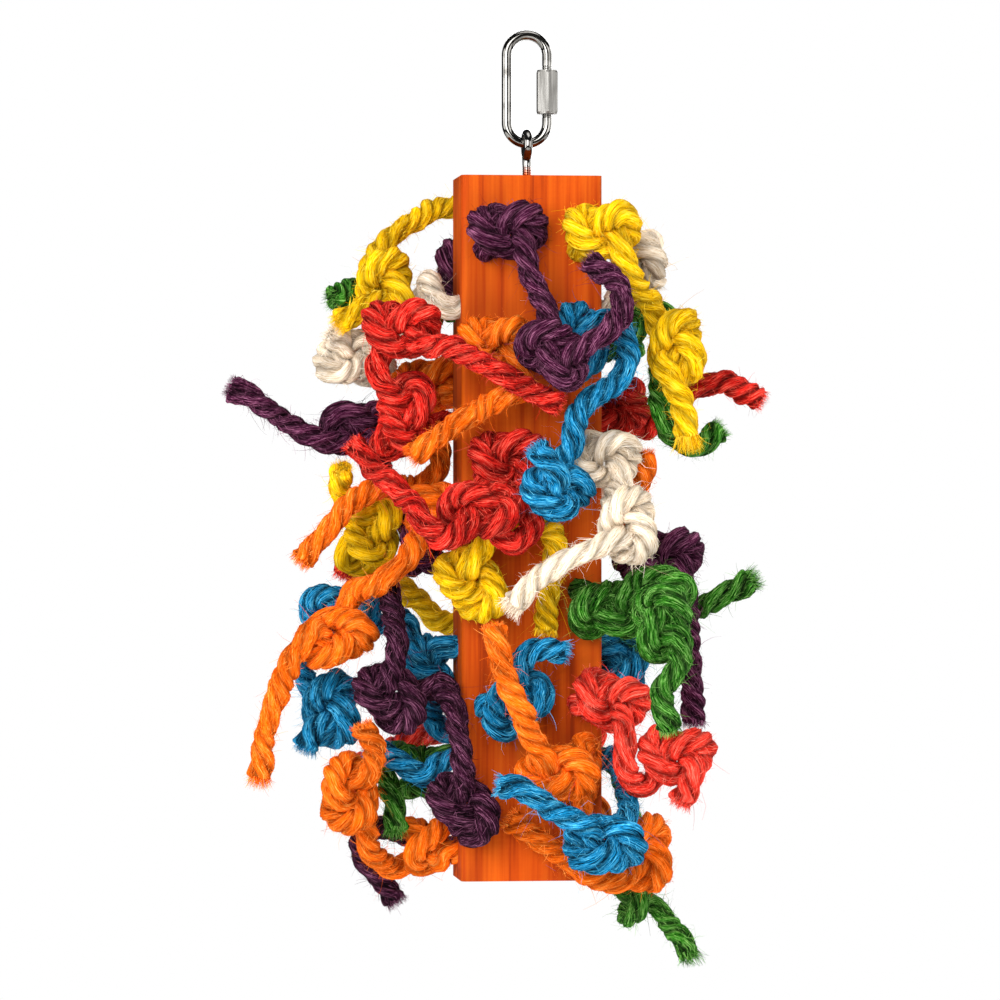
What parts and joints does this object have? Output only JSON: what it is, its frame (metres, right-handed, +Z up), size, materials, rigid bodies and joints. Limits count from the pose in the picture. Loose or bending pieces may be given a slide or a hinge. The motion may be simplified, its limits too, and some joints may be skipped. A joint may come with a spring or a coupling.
{
  "type": "hanging bird toy",
  "caption": "Hanging wooden bird toy: a drilled, dyed pine block on a quick link, with coloured sisal ropes threaded through it and knotted.",
  "frame": {"origin": "inside top of the quick link's upper bow, where it rests on a cage bar", "axes": "+Z up, along the block's length; -Y out of the front face; +X to the right seen from the front"},
  "size_m": [0.2272, 0.1277, 0.397],
  "materials": {
    "steel": "zinc plated",
    "pine": "orange dye, sanded",
    "sisal_purple": "twisted natural fibre",
    "sisal_yellow": "twisted natural fibre",
    "sisal_red": "twisted natural fibre",
    "sisal_blue": "twisted natural fibre",
    "sisal_orange": "twisted natural fibre",
    "sisal_green": "twisted natural fibre",
    "sisal_natural": "twisted natural fibre"
  },
  "bodies": {
    "link": {"quick_link": "steel"},
    "nut": {"link_nut": "steel"},
    "block": {"block": "pine", "screw_eye": "steel", "rope_front_1_left": "sisal_purple", "rope_front_1_right": "sisal_yellow", "rope_front_2_left": "sisal_orange", "rope_front_2_right": "sisal_blue", "rope_front_3_left": "sisal_red", "rope_front_3_right": "sisal_natural", "rope_front_4_left": "sisal_yellow", "rope_front_4_right": "sisal_green", "rope_front_5_left": "sisal_blue", "rope_front_5_right": "sisal_red", "rope_front_6_left": "sisal_purple", "rope_front_6_right": "sisal_orange", "rope_side_1_front": "sisal_natural", "rope_side_1_back": "sisal_green", "rope_side_2": "sisal_red", "rope_side_3_front": "sisal_orange", "rope_side_3_back": "sisal_purple", "rope_side_4": "sisal_blue", "rope_side_5_front": "sisal_blue", "rope_side_5_back": "sisal_green", "rope_side_6": "sisal_orange"}
  },
  "joints": [
    {"name": "block_swing", "type": "hinge", "parent": "link", "child": "block", "pos_m": [0, 0, -0.0442], "axis": [1, 0, 0], "range_deg": [-90, 90]},
    {"name": "nut_travel", "type": "slide", "parent": "link", "child": "nut", "axis": [0, 0, 1], "range_m": [0, 0.0066]}
  ]
}
